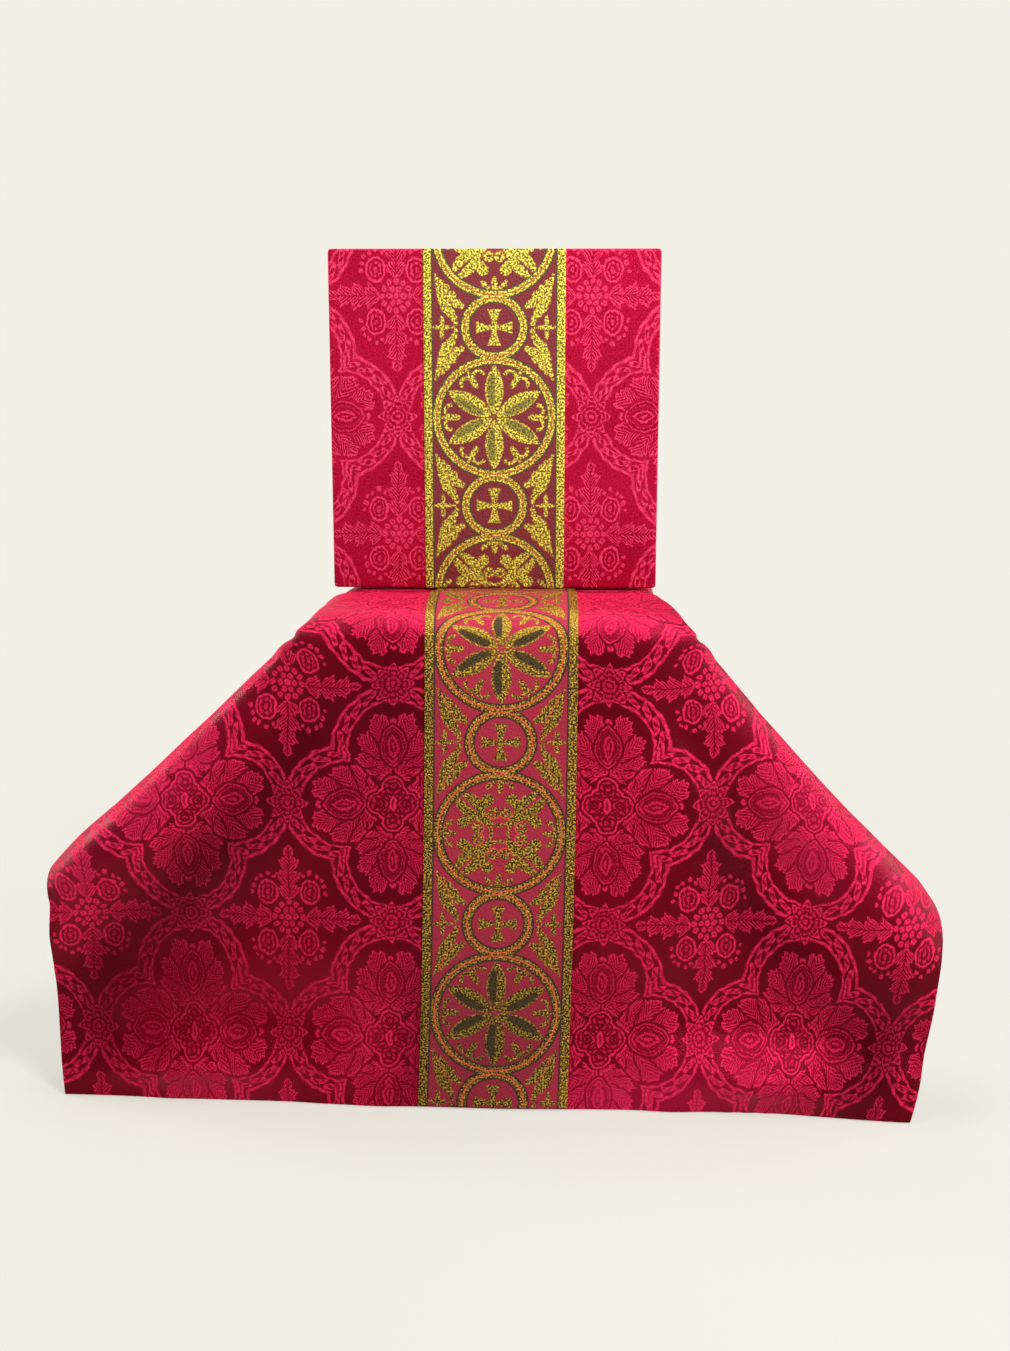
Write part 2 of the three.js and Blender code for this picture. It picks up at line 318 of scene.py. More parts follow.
def leafRoundel(longer, shorter):
    # a cross of leaves with scrolls, an eighth of it mirrored round
    leaf = spots(longer, shorter, orphreyWeave["leafCross"])
    slit = low(longer - 13.0, 24.0 - longer) * 0.16
    leaf = low(leaf, (longer - shorter) * 0.7 - slit)
    scroll = distance(longer - 13.2, shorter - 3.5)
    leaf = high(leaf, low(3.3 - scroll, high(scroll - 1.2, longer - 13.6)))
    corner = distance(longer - 14.6, shorter)
    leaf = high(leaf, low(1.0 - abs(corner - 9.6), 9.5 - longer))
    leaf = high(leaf, spots(longer, shorter, orphreyWeave["leafTips"]))
    return leaf, low(0.35 - abs(scroll - 3.9), 13.6 - longer)


def smallCross(x, smallY):
    longer, shorter = high(x, smallY), low(x, smallY)
    armLong, thin, flare = orphreyWeave["crossArm"]
    arm = thin + (flare + 0.5 * above(smallY, x)) * power(longer / armLong, 1.8)
    return low(arm - shorter, armLong - longer)


def orphreyFields(across, along):
    # `along` is 0 at a flower roundel and 115 at a leaf cross
    w = orphreyWeave
    x = abs(across)
    y = fold(along, w["spacing"])  # 0 at a big roundel, 57.5 at a small one
    smallY = w["spacing"] - y
    isLeaf = above(fold(along, 2 * w["spacing"]), w["spacing"])
    big, small = distance(x, y), distance(x, smallY)
    bigRing = low(big - w["bigRing"][0], w["bigRing"][1] - big)
    smallRing = low(small - w["smallRing"][0], w["smallRing"][1] - small)
    bigLine, smallLine = (sum(w[ring]) / 2 + w["lineOut"] for ring in ("bigRing", "smallRing"))
    redLine = w["lineHalf"] - low(abs(big - bigLine), abs(small - smallLine))
    flower, core = flowerRoundel(x, across, y, big)
    leaf, scrollLine = leafRoundel(high(x, y), low(x, y))
    inBig = w["bigRing"][0] - 0.8 - big
    roundel = low(blend(flower, leaf, isLeaf), inBig)
    # half leaves and the sprig towards the border
    back = spots(x, smallY, w["leafBack"])
    lobes = spots(x, smallY, w["leafLobes"])
    leaves = low(high(back, lobes), low(small - 21.8, big - 40.2))
    vein = low(0.36 - abs(back - lobes), leaves)
    sprig = high(oval(x, smallY, 33.0, 0, 5.4, 1.5), oval(x, smallY, 33.2, 4.0, 1.4, 3.4))
    sprig = high(sprig, low(0.5 - smallY, x - 25))
    beside = low(high(leaves, sprig), w["stripe"] - 1 - x)
    stripe = x - w["stripe"]
    rings = high(bigRing, smallRing)
    gold = high(high(rings, roundel), high(high(smallCross(x, smallY), beside), stripe))
    redLine = high(high(redLine, vein), low(scrollLine, isLeaf - 0.5))
    return gold, high(rings, stripe), redLine, blend(low(core, inBig), -1.0, isLeaf)


damaskWeave = {
    "cell": (63.5, 72.0),  # half of the repeat, across and along
    "slope": 0.84,  # of the line between a side lobe and an end lobe
    "squash": 0.82,  # of the side buds
    "berry": 1.9,
    "lobes": [(28.5, 0.0, 26.6), (0.0, 35.4, 26.6)],
    "heart": [(8.0, 0.0, 7.2), (0.0, 10.4, 6.8), (4.5, 5.5, 5.2)],
    "seeds": [
        (13.0, 27.8, 1.5),
        (9.2, 25.6, 1.3),
        (17.4, 25.2, 1.4),
        (21.8, 19.2, 1.5),
        (23.0, 14.6, 1.2),
        (20.6, 23.4, 1.2),
    ],
}


def quatrefoil(a, b):
    # how far outside the frame's inner edge
    sides, ends = (distance(a - cx, b - cy) - r for cx, cy, r in damaskWeave["lobes"])
    return low(sides, ends)


def frameBand(a, b, d, upper):
    # edge lines and a garland between them
    (sideAt, _, sideRound), (_, endAt, endRound) = damaskWeave["lobes"]
    winding = blend(angleOf(b, a - sideAt) * sideRound, angleOf(a, b - endAt) * endRound, upper)
    leafy = fold(winding * 0.118 + (d - 4.6) * 0.15, 0.5)
    garland = 3.9 * power(leafy * 2, 0.8) - abs(d - 5.0) - 0.4
    return high(high(0.8 - abs(d - 0.7), 1.0 - abs(d - 9.6)), garland), winding


def crownedBuds(a, b, d, upper):
    # a crowned bud in each lobe; `s` out from the middle, `q` to its side
    s = blend(a + 6.0, b, upper)
    q = blend(b * damaskWeave["squash"], a, upper)
    leafFar, leafTurn = distance(s - 21.0, q), angleOf(q, s - 21.0)
    leafShare = fold(leafTurn * 2.05 - leafFar * 0.006, 0.5)
    leafSide = (0.5 - leafShare) * leafFar * 0.49
    teeth = fold(leafTurn * 8.2 - leafFar * 0.12, 0.5)
    crown = 33.0 - 12.0 * leafTurn + 9.0 * leafShare + 4.6 * teeth - leafFar
    crown = low(crown, q - unit((s - 43) / 8) * 3.2 - 0.5)
    bud = 15.2 - distance(s - 35.0, q + 7.0)
    tassel = high(1.9 - distance(s - 50.0, q), low(0.7 - q, low(s - 46, 50 - s)))
    slits = low(0.55 - leafShare * leafFar * 0.49, leafFar - 9)
    budLines = high(0.65 - abs(bud + 0.1), low(0.5 - abs(bud - 3.4), s - 28.0))
    heart = spots(a, b, damaskWeave["heart"])
    sideEye, endEye = fold(distance(a - 7.8, b), 2.0), fold(distance(a, b - 10.4), 1.8)
    eyes = high(0.5 - abs(sideEye - 2.0), 0.5 - abs(endEye - 1.8))
    crown = low(crown, abs(b * damaskWeave["slope"] - a) * 0.7 - 0.6)
    crowns = low(low(high(high(crown, bud), tassel), -2.2 - d), -1.3 - heart)
    dark = high(high(budLines, low(slits, low(-0.8 - bud, crown - 0.4))), low(eyes, heart - 1.2))
    onCrown = above(low(crown, -0.6 - bud), 0)
    chevron = 2.5 * (leafFar - 1.6 * leafSide)
    return high(crowns, heart), dark, onCrown, chevron, 2.5 * high(bud, heart)


def frameStar(a, b, starA, starB):
    # where the frames touch, at the sides and at the ends of each quatrefoil
    atEnd = above(starA, starB)
    sx, sy = blend(starA, a, atEnd), blend(b, starB, atEnd)
    far = distance(sx, sy)
    turn = fold(angleOf(sy, sx), pi / 8)
    return 13.4 - turn * 14.0 - far, low(0.3 - abs(far * sine(turn) - 1.6), 8.6 - far), far


def rosette(starA, starB, d):
    # berries between the frames, with four leaves and four tulips
    cross = distance(starA, starB)
    crossTurn = angleOf(starB, starA)
    ringTurn, coreTurn = fold(crossTurn, pi / 12), fold(crossTurn, pi / 6)
    berry = damaskWeave["berry"]
    berries = berry - distance(cross * cosine(ringTurn) - 8.9, cross * sine(ringTurn))
    berries = high(berries, berry - distance(cross * cosine(coreTurn) - 4.4, cross * sine(coreTurn)))
    berries = high(berries, berry - cross)
    longer, shorter = high(starA, starB), low(starA, starB)
    share = unit((longer - 10.5) / 34.5)
    lobed = fold(longer * 0.105 - shorter * 0.06 + 0.1, 0.5)
    jagged = fold(longer * 0.33 - shorter * 0.22, 0.5)
    leaf = (2.4 + 10.5 * lobed + 3.6 * jagged) * power(sine(power(share, 0.75) * pi), 0.55) - shorter
    leaf = low(leaf, low(longer - 11.0, 45.5 - longer))
    tulip = oval(starA, starB, 13.2, 15.4, 6.6, 7.8)
    tulipLines = low(0.4 - abs(fold(starA - 13.2, 1.4) - 1.4), tulip - 0.9)
    figure = high(high(berries, leaf), high(tulip, spots(starA, starB, damaskWeave["seeds"])))
    dark = high(tulipLines, low(0.35 - shorter, leaf - 1.0))
    phase = blend(2.5 * (longer - 1.3 * shorter), 2.5 * tulip, above(tulip, 0))
    return low(figure, d - 11.6), dark, phase


def damaskFields(across, along):
    # 0, 0 is the middle of a framed quatrefoil; `phase` runs across the engraved lines
    cellWide, cellHigh = damaskWeave["cell"]
    a, b = fold(across, cellWide), fold(along, cellHigh)
    starA, starB = cellWide - a, cellHigh - b
    d = quatrefoil(a, b)
    upper = above(b * damaskWeave["slope"], a)
    band, winding = frameBand(a, b, d, upper)
    inside, dark, onCrown, chevron, rings = crownedBuds(a, b, d, upper)
    star, starLines, starFar = frameStar(a, b, starA, starB)
    outside, rosetteLines, rosettePhase = rosette(starA, starB, d)
    phase = blend(blend(winding * 0.9 - d * 1.6, rings, above(inside, 0)), chevron, onCrown)
    phase = blend(phase, rosettePhase, above(outside, 0))
    figure = high(high(low(band, -star - 1.2), star), high(inside, outside))
    return figure, high(high(dark, starLines), rosetteLines), blend(phase, starFar * 2.2, above(star, 0))


# the veil's cloth, in millimetres: `u` across from its middle, `t` up from the front hem
veil = {
    "side": 560.0,
    "frontDrop": 303.0,
    "span": 210.0,  # of the flat top
    "aside": -3.0,  # of the top from the veil's middle
    "leanTop": 2.0,
    "leanHem": 9.0,
    "bendRun": 12.0,  # along a wing's crease, before its bend is full
    "twist": 0.05,
    "kick": 12.0,
    "kickFrom": 150.0,
    "kickTo": 250.0,
    "drawLeft": 20.0,
    "drawRight": 31.0,
    "sway": -5.0,
    "soften": 9.0,
    "shoulder": 12.0,
    "shoulderWide": 22.0,
    "crown": 4.5,
    "crownIn": 8.0,
    "crownWide": 22.0,
    "sag": 9.0,
    "sagFrom": 52.0,
    "sagTo": 116.0,
    "wall": 1.2,
    "lowest": 0.65,  # the middle of its wall, over the floor
    "columns": 220,
    "rows": 220,
}
# crease angle, bend at the shoulder, spread of the bend along the crease
ears = {"left": (42.8, 4.0, 0.032), "right": (44.4, 4.0, 0.056), "rear": (45.0, 3.5, 0.01)}
# across, up, turn, half length, half width, out
softFolds = [
    (-205, 96, 24, 110, 34, -10),
    (-245, 158, 30, 60, 24, 6),
    (-178, 26, 3, 62, 20, 8),
    (-70, 70, 80, 120, 28, 4),
    (96, 66, 100, 110, 30, 5),
    (150, 112, 60, 90, 34, -7),
    (186, 24, -3, 64, 20, 9),
    (240, 96, 118, 70, 24, 6),
    (-160, 420, 4, 100, 28, 8),
    (-200, 366, 8, 80, 24, -7),
    (-220, 478, -6, 80, 24, -7),
    (170, 392, -6, 100, 28, 8),
    (210, 444, 3, 80, 26, -8),
    (200, 500, 10, 70, 22, 6),
    (40, 545, 96, 40, 30, 3),
]

half = veil["span"] / 2
leanStart = radians(veil["leanTop"])
leanRate = (radians(veil["leanHem"]) - leanStart) / veil["frontDrop"]
wingReach = veil["side"] / 2 - half


def hangOf(down):
    return (np.sin(leanStart + leanRate * down) - sin(leanStart)) / leanRate


def forwardOf(down):
    return (cos(leanStart) - np.cos(leanStart + leanRate * down)) / leanRate


topHeight = float(hangOf(veil["frontDrop"]))


def ramp(x, low, high):
    s = np.clip((x - low) / (high - low), 0, 1)
    return s * s * (3 - 2 * s)


def bendOf(ear, along):
    far = np.maximum(along, 0)
    return np.maximum(ear[1] * (1 - np.exp(-far / veil["bendRun"])) + ear[2] * far, 0.01)


def foldEar(ear, out, down):
    c, s = cos(radians(ear[0])), sin(radians(ear[0]))
    along, past = out * c + down * s, out * s - down * c
    radius = bendOf(ear, along)
    edge = pi * radius / 2
    angle = np.clip((past + edge) / radius, 0, pi)
    bent = np.abs(past) < edge
    reach = np.where(bent, radius * np.sin(angle) - edge, -np.abs(past))
    turn = (1 - np.cos(angle)) / 2
    newOut, newDown = along * c + reach * s, along * s - reach * c
    share = np.clip(newOut / np.maximum(newDown * c / s, 1e-6), 0, 1)
    return newOut, newDown, turn, radius, share


def cornerSet(ear, down):
    return 2 * ear[1] * (1 - np.exp(-np.maximum(down, 0) / veil["bendRun"]))


def creasedForm(u, t):
    offset = u - veil["aside"]
    side = np.where(offset < 0, -1.0, 1.0)
    beside = np.abs(offset) - half
    before = veil["frontDrop"] - t
    behind = -before - veil["span"]
    place = np.zeros(u.shape + (3,))
    for sign, ear in ((-1, ears["left"]), (1, ears["right"])):
        sideways = veil["aside"] + sign * half
        # the front sheet and its ear
        here = (side == sign) & (before >= 0)
        b, d = beside[here], before[here]
        out, down, turn, radius, share = foldEar(ear, b, d)
        corner = forwardOf(down) + cornerSet(ear, down)
        gap = corner + (2 * radius - corner) * ramp(share, 0, 1)
        flat = b <= 0
        x = np.where(flat, u[here], sideways + sign * out)
        y = np.where(flat, -half - forwardOf(d), -half - forwardOf(down) + turn * gap)
        z = topHeight - hangOf(np.where(flat, d, down))
        place[here] = np.stack([x, y, z], -1)
        # the top and the side sheet
        here = (side == sign) & (before < 0) & (behind <= 0)
        b, d = beside[here], before[here]
        along = -d / veil["span"]
        out = np.maximum(b, 0)
        flare = out * cos(2 * radians(ear[0])) * (1 - along)
        down = out * sin(2 * radians(ear[0]))
        x = np.where(b <= 0, u[here], sideways + sign * flare)
        y = -half - d + np.where(b <= 0, 0, cornerSet(ear, down) * (1 - along))
        z = topHeight - np.where(b <= 0, 0, hangOf(down))
        place[here] = np.stack([x, y, z], -1)
        # the rear drop and its ear
        here = (side == sign) & (behind > 0)
        b, d, o = beside[here], behind[here], offset[here]
        rear = ears["rear"]
        out, down, turn, radius, share = foldEar(rear, d, b)
        corner = cornerSet(rear, down)
        gap = corner + (2 * radius - corner) * share
        flat = b <= 0
        x = np.where(flat, veil["aside"] + o * (1 - cornerSet(rear, d) / half), sideways - sign * turn * gap)
        y = np.where(flat, half, half + out)
        z = topHeight - np.where(flat, d, hangOf(down))
        place[here] = np.stack([x, y, z], -1)
    return place


def softenAt(u, t):
    offset = u - veil["aside"]
    beside = np.abs(offset) - half
    before = veil["frontDrop"] - t
    behind = -before - veil["span"]

    def nearFold(ear, out, down):
        c, s = cos(radians(ear[0])), sin(radians(ear[0]))
        along, past = out * c + down * s, np.abs(out * s - down * c)
        bent = pi / 2 * (ear[1] + ear[2] * np.maximum(along, 0))
        return ramp(along, 12, 45) * (1 - ramp(past - bent, 0, 16))

    left, right = (nearFold(ears[side], beside, before) for side in ("left", "right"))
    front = np.where(offset < 0, left, right)
    rear = nearFold(ears["rear"], beside, behind)
    shoulder = np.exp(-((before - 2) / veil["shoulderWide"]) ** 2) * (1 - ramp(beside, -6, 30))
    return veil["soften"] * (1 - 0.85 * np.maximum(front, rear)) + veil["shoulder"] * shoulder


# places on a unit disc, over which the creased form is averaged
disc = [(0.0, 0.0)]
for count, reach in ((6, 0.3), (10, 0.6), (16, 0.92)):
    disc += [(reach * cos(2 * pi * k / count), reach * sin(2 * pi * k / count)) for k in range(count)]


def softForm(u, t):
    radius = softenAt(u, t)
    return sum(creasedForm(u + radius * a, t + radius * b) for a, b in disc) / len(disc)


def normalOf(form, u, t, step=2.0):
    across = form(u + step, t) - form(u - step, t)
    upward = form(u, t + step) - form(u, t - step)
    normal = np.cross(across, upward)
    return normal / np.maximum(np.linalg.norm(normal, axis=-1, keepdims=True), 1e-9)


def foldsOut(u, t, folds):
    out = np.zeros(u.shape)
    for across, up, turn, length, width, height in folds:
        c, s = cos(radians(turn)), sin(radians(turn))
        along = ((u - across) * c + (t - up) * s) / length
        aside = ((t - up) * c - (u - across) * s) / width
        out += height * np.exp(-along * along - aside * aside)
    return out


def veilForm(u, t):
    place = softForm(u, t)
    normal = normalOf(softForm, u, t)
    place[..., :2] += normal[..., :2] * foldsOut(u, t, softFolds)[..., None]
    x, y, z = place[..., 0], place[..., 1], place[..., 2]
    z -= veil["sag"] * ramp(y + half, veil["sagFrom"], veil["sagTo"])
    low = np.clip(1 - z / topHeight, 0, 1)
    offset = np.abs(x - veil["aside"])
    outward = np.maximum(offset - half, 0) / wingReach
    draw = np.where(x < 0, veil["drawLeft"], -veil["drawRight"])
    x += (veil["sway"] + draw * outward) * low * low
    inFront = 1 - ramp(y + half, 0, 60)
    kick = veil["kick"] * ramp(x, veil["kickFrom"], veil["kickTo"])
    y -= (veil["twist"] * np.minimum(x, 0) + kick) * low * inFront
    end = (offset - half + veil["crownIn"]) / veil["crownWide"]
    z -= veil["crown"] * np.exp(-end * end) * (1 - np.minimum(2 * low, 1)) * inFront
    return place


# small creases: across, up, turn, half length, half width, out
smallFolds = [
    (-190, 20, 4, 52, 4.5, 1.8),
    (-196, 9, 2, 46, 4.0, -1.1),
    (168, 17, -4, 40, 7.0, 3.0),
    (150, 10, 84, 14, 4.0, 0.8),
    (164, 9, 92, 13, 4.0, 0.9),
    (178, 10, 88, 14, 4.0, 0.9),
    (-190, 46, 2, 120, 24, -8.0),
    (-200, 0, 2, 130, 30, -4.0),
    (190, 50, -3, 130, 24, -8.0),
    (150, 0, 0, 200, 30, -3.0),
    (0, 300, 0, 78, 34, -5.0),
    (-238, 152, 40, 84, 22, 4.0),
    (112, 66, -3, 74, 32, -6.0),
    (232, 146, -40, 72, 24, 3.0),
    (-110, 60, 6, 60, 26, -4.0),
    (-168, 84, 62, 84, 15, 3.4),
    (-236, 60, 20, 50, 14, 2.4),
    (-120, 150, 70, 90, 22, 2.2),
    (118, 120, 108, 96, 20, 2.6),
    (150, 176, 112, 74, 17, -3.2),
    (84, 60, 92, 70, 13, -1.6),
    (-84, 40, 86, 60, 13, -1.4),
    (-60, 240, 96, 60, 12, 1.2),
    (72, 236, 82, 60, 13, 1.3),
    (-150, 330, 5, 60, 14, 2.0),
    (158, 340, -8, 60, 14, 2.2),
    (-236, 420, 2, 70, 12, -2.4),
    (232, 410, -4, 70, 12, 2.4),
    (-190, 520, 8, 60, 12, 2.0),
    (186, 470, 0, 60, 12, -2.2),
]

# up the cloth, how far the left outline stands out there, and the right one
outline = [
    (0, 3.0, 0.0),
    (25, 3.1, 1.2),
    (50, 3.1, 1.0),
    (75, 4.0, -0.6),
    (100, 2.7, -0.7),
    (120, -0.2, 0.1),
    (140, 1.2, 1.2),
    (160, 1.0, -3.9),
    (180, -1.2, -6.7),
    (200, -1.1, -7.1),
    (220, -0.4, -7.1),
    (240, -0.8, -7.0),
    (260, -0.4, -4.8),
    (275, -0.3, -2.5),
    (290, 5.9, 5.2),
    (305, 11.3, 10.6),
    (320, 6.2, 6.8),
    (335, 0.7, 2.6),
    (355, 2.1, -3.2),
    (380, 0.0, 0.0),
    (420, 0.0, 0.0),
]
# up the cloth, and how far across it the outline lies there
outlineAcross = ((0, 140, 205, 255, 305, 355), (280, 280, 218, 160, 116, 106))
topFit = 6.5  # narrowing of the flat top behind the front edge
# how far the front bends back beside each wing's fold, over what width, and the crease inside it
wingBend = {"left": (22.0, 52.0, 6.0), "right": (22.0, 64.0, 6.0)}
# where painted shade and painted highlight lie along the creases: across, up, turn, half length, half width,
# stops
paintedLightFolds = [
    (-185, 140, 49, 88, 22, -0.62),
    (-188, 84, 20, 90, 55, -0.32),
    (-50, 80, 90, 120, 10, -0.25),
    (136, 165, 116, 46, 17, -0.58),
    (185, 95, 138, 62, 19, -0.40),
    (246, 34, 80, 56, 24, -0.70),
    (-193, 206, 46, 84, 17, 0.45),
    (-262, 140, 80, 40, 14, 0.35),
    (182, 204, 134, 92, 22, 0.26),
    (184, 158, 135, 42, 28, 0.34),
    (250, 150, 115, 40, 20, 0.30),
    (100, 10, 0, 105, 20, 0.66),
    (-190, 9, 0, 62, 18, 0.42),
    (-80, 44, 90, 32, 24, 0.30),
    (0, 20, 0, 60, 70, -0.55),
    (0, 300, 0, 105, 18, 0.6),
    (-62, 256, 90, 40, 24, -0.32),
    (60, 262, 90, 30, 22, -0.22),
    (-250, 60, 80, 50, 20, -0.30),
    (-135, 42, 0, 40, 18, -0.18),
    (-95, 200, 90, 90, 40, -0.20),
    (-240, 20, 80, 50, 30, -0.20),
]
# painted sheen: where the ground is painted almost as bright as the figure, so that the pattern sinks
paintedSheenFolds = [
    (-150, 66, 6, 80, 46, 0.85),
    (-232, 46, 80, 60, 30, 0.60),
    (-70, 20, 0, 50, 20, 0.35),
    (74, 120, 90, 60, 24, 0.35),
    (120, 20, 0, 60, 18, 0.35),
]


def bendBack(u, t):
    offset = u - veil["aside"]
    beside, before = np.abs(offset) - half, veil["frontDrop"] - t
    back = np.zeros(u.shape)
    for side, sign in (("left", -1), ("right", 1)):
        c, s = cos(radians(ears[side][0])), sin(radians(ears[side][0]))
        along, past = beside * c + before * s, beside * s - before * c
        depth, reach, crease = wingBend[side]
        reach = reach * (0.55 + 0.45 * ramp(along, 0, 160))
        bend = depth * np.clip((past + reach) / (reach + 12), 0, 1) ** 1.6 * (1 - ramp(past, 20, 110))
        bend += crease * np.exp(-(((past + reach) / 15) ** 2))
        here = (offset * sign > 0) & (before > 0)
        back += np.where(here, bend * ramp(along, 5, 60), 0)
    return back


def dressedForm(u, t):
    place = veilForm(u, t)
    normal = normalOf(softForm, u, t)
    place = place + normal * foldsOut(u, t, smallFolds)[..., None]
    place[..., 1] += bendBack(u, t)
    x, y, z = place[..., 0], place[..., 1], place[..., 2]
    aside = x - veil["aside"]
    ridge = np.interp(t, *outlineAcross)
    heights, left, right = zip(*outline)
    out = np.where(u < 0, -np.interp(t, heights, left), np.interp(t, heights, right))
    onTop = ramp(z, 262, 296) * ramp(y, -85, -20) * ramp(np.abs(aside), 55, 105)
    place[..., 0] += out * ramp(np.abs(u), ridge - 70, ridge - 8) * (1 - ramp(y, -60, -20))
    place[..., 0] -= np.sign(aside) * topFit * onTop
    return place


# finishes
damaskOfVeil = {
    "source": "UV",
    "origin": (63.5, 43.5),
    "stretch": (1.0, 1.0),
    "wander": 2.4,
    "ground": (0.085, 0.0002, 0.002),
    "groundLight": (0.135, 0.0004, 0.005),
    "figure": (0.21, 0.001, 0.013),
    "light": (0.84, 0.022, 0.098),
    "engraving": 0.68,
    "lineShare": 0.5,
    "rim": 0.55,
    "speckle": 0.4,
    "gleam": (1.0, 0.004, 0.05),
    "sheen": 0.45,
    "satinSheen": 0.75,
    "metallic": 0.25,
    "paintedSheenColour": (0.27, 0.0004, 0.010),
    "paintedHighlight": (0.98, 0.034, 0.145),
    "paintedHighlightDeep": (0.60, 0.010, 0.07),
    "paintedEdgeSheen": 0.4,
}
# the burse's copy of the veil's damask, painted brighter as a lit copy, for the light its face catches
litDamaskOfBurse = {
    **damaskOfVeil,
    "source": "Object",
    "origin": (-1.4, 405.5),
    "stretch": (127 / 124, 144 / 151),
    "ground": (0.30, 0.001, 0.018),
    "groundLight": (0.60, 0.008, 0.052),
    "figure": (0.35, 0.002, 0.024),
    "light": (0.90, 0.052, 0.15),
    "engraving": 0.85,
    "lineShare": 0.25,
    "rim": 0.6,
    "speckle": 2.2,
    "satinSheen": 0.5,
}
# the veil's and the burse's gold are shaded and lit copies of one gold thread: the veil's gold is painted
# dark as painted shade and a painted dark reflection, the burse's painted bright as a painted highlight
shadedGoldOfVeil = {
    "source": "UV",
    "origin": (0.0, 60.0),
    "spacing": 55.0,
    "ground": (0.42, 0.013, 0.043),
    "gold": (0.055, 0.024, 0.005),
    "bright": (0.64, 0.39, 0.04),
    "grit": (0.85, 6.5, 0.465),
    "outline": (0.035, 0.008, 0.010),
    "line": (0.78, 0.075, 0.045),
    "core": (0.03, 0.016, 0.004),
    "coreShare": 0.9,
    "specular": 0.3,
}
litGoldOfBurse = {
    "source": "Object",
    "origin": (-1.37, 405.0),
    "spacing": 56.5,
    "ground": (0.22, 0.007, 0.017),
    "gold": (0.14, 0.075, 0.004),
    "bright": (1.0, 0.88, 0.11),
    "grit": (0.8, 5.5, 0.42),
    "outline": (0.05, 0.035, 0.012),
    "line": (0.50, 0.05, 0.02),
    "core": (0.085, 0.06, 0.004),
    "coreShare": 0.7,
    "specular": 0.5,
}


def clothPlace(knot, source):
    # where a point lies on the cloth, in millimetres
    parts = partsOf(knot, knot.node("ShaderNodeTexCoord", out=source))
    if source == "UV":
        return parts[0] * veil["side"] - veil["side"] / 2, parts[1] * veil["side"]
    return parts[0] * 1000.0, parts[2] * 1000.0


def noise(knot, across, along, scale, detail=2.0):
    vector = knot.node("ShaderNodeCombineXYZ", sockets={0: across, 1: along})
    sockets = {"Vector": vector, "Scale": scale, "Detail": detail}
    return knot.node("ShaderNodeTexNoise", {"noise_dimensions": "2D"}, sockets)


def solidNoise(knot, vector, scale, detail):
    return knot.node("ShaderNodeTexNoise", sockets={"Vector": vector, "Scale": scale, "Detail": detail})


def bumpFrom(knot, height, strength, millimetres):
    sockets = {"Height": height, "Strength": strength, "Distance": millimetres / 1000}
    return knot.node("ShaderNodeBump", sockets=sockets)


def kept(knot, name):
    # a value kept on the veil's own points
    return knot.node("ShaderNodeAttribute", {"attribute_name": name}, out=2)


def withPaintedLight(knot, colour, paintedHighlight):
    # paints shade and highlight into a colour, by the painted light kept on the veil's points
    paintedLight = kept(knot, "paintedLight")
    return (0.6 * unit(paintedLight)).tint((0.8 * unit(-paintedLight)).tint(colour, (0, 0, 0)), paintedHighlight)


def damaskFinish(name, s):
    # a satin ground and a duller figure, mixed by what is woven
    material, knot = newMaterial(name)
    across, along = clothPlace(knot, s["source"])
    grain = noise(knot, across, along, 0.9)
    # the weave never runs quite straight
    wander = noise(knot, across, along, 0.17, 1.0)
    wanderToo = noise(knot, along + 300, across, 0.17, 1.0)
    x = (across - s["origin"][0]) * s["stretch"][0] + (wander - 0.5) * s["wander"]
    y = (along - s["origin"][1]) * s["stretch"][1] + (wanderToo - 0.5) * s["wander"]
    woven, dark, phase = damaskFields(x, y)
    figure = soft(woven + (grain - 0.5) * 1.2, 0.9)
    engraved = unit(s["lineShare"] + sine(phase + (grain - 0.5) * 6.0) * 0.9)
    rim = unit(1.1 - abs(woven - 0.6)) * s["rim"]
    lines = soft(dark + (grain - 0.5) * 0.5, 0.7)
    body = (s["engraving"] * engraved + rim) * (1 - lines * 0.9)
    cloud = noise(knot, across, along, 0.021, 1.0)
    raised = unit(body + (cloud - 0.5) * 0.2).tint(s["figure"], s["light"])
    ground = unit(cloud * 0.5 + 0.2 + (grain - 0.5) * s["speckle"]).tint(s["ground"], s["groundLight"])
    # painted sheen on both where they turn away, and painted shade and painted highlight along the veil's
    # creases
    facing = knot.node("ShaderNodeLayerWeight", sockets={"Blend": 0.5}, out=1)
    edge = power(facing, 2.6) * s["paintedEdgeSheen"]
    raised, ground = (edge * 0.8).tint(raised, s["paintedHighlight"]), edge.tint(ground, s["paintedHighlight"])
    if s["source"] == "UV":
        paintedSheenShare = kept(knot, "paintedSheen")
        raised = withPaintedLight(knot, (0.5 * paintedSheenShare).tint(raised, s["paintedSheenColour"]), s["paintedHighlight"])
        ground = withPaintedLight(knot, (0.75 * paintedSheenShare).tint(ground, s["paintedSheenColour"]), s["paintedHighlightDeep"])
    normal = bumpFrom(knot, noise(knot, across, along, 1.4, 1.0), 0.5, 0.5)
    satin = knot.node("ShaderNodeBsdfPrincipled")
    for shader in (knot, satin):
        feed(shader, Metallic=s["metallic"], Normal=normal, Sheen_Tint=s["gleam"])
    feed(knot, Base_Color=raised, Roughness=0.5 + (grain - 0.5) * 0.14)
    feed(knot, Specular_IOR_Level=0.2, Specular_Tint=(1.0, 0.1, 0.2))
    feed(knot, Sheen_Weight=s["sheen"], Sheen_Roughness=0.4)
    feed(satin, Base_Color=ground, Roughness=0.36 + (grain - 0.5) * 0.1)
    feed(satin, Specular_IOR_Level=0.9, Specular_Tint=(1.0, 0.06, 0.16))
    feed(satin, Sheen_Weight=s["satinSheen"], Sheen_Roughness=0.26)
    share = unit(figure * (1 - 0.75 * lines))
    mixed = knot.node("ShaderNodeMixShader", sockets={0: share, 1: satin, 2: knot})
    knot.tree.links.new(mixed.socket, knot.tree.nodes["Material Output"].inputs["Surface"])
    return material


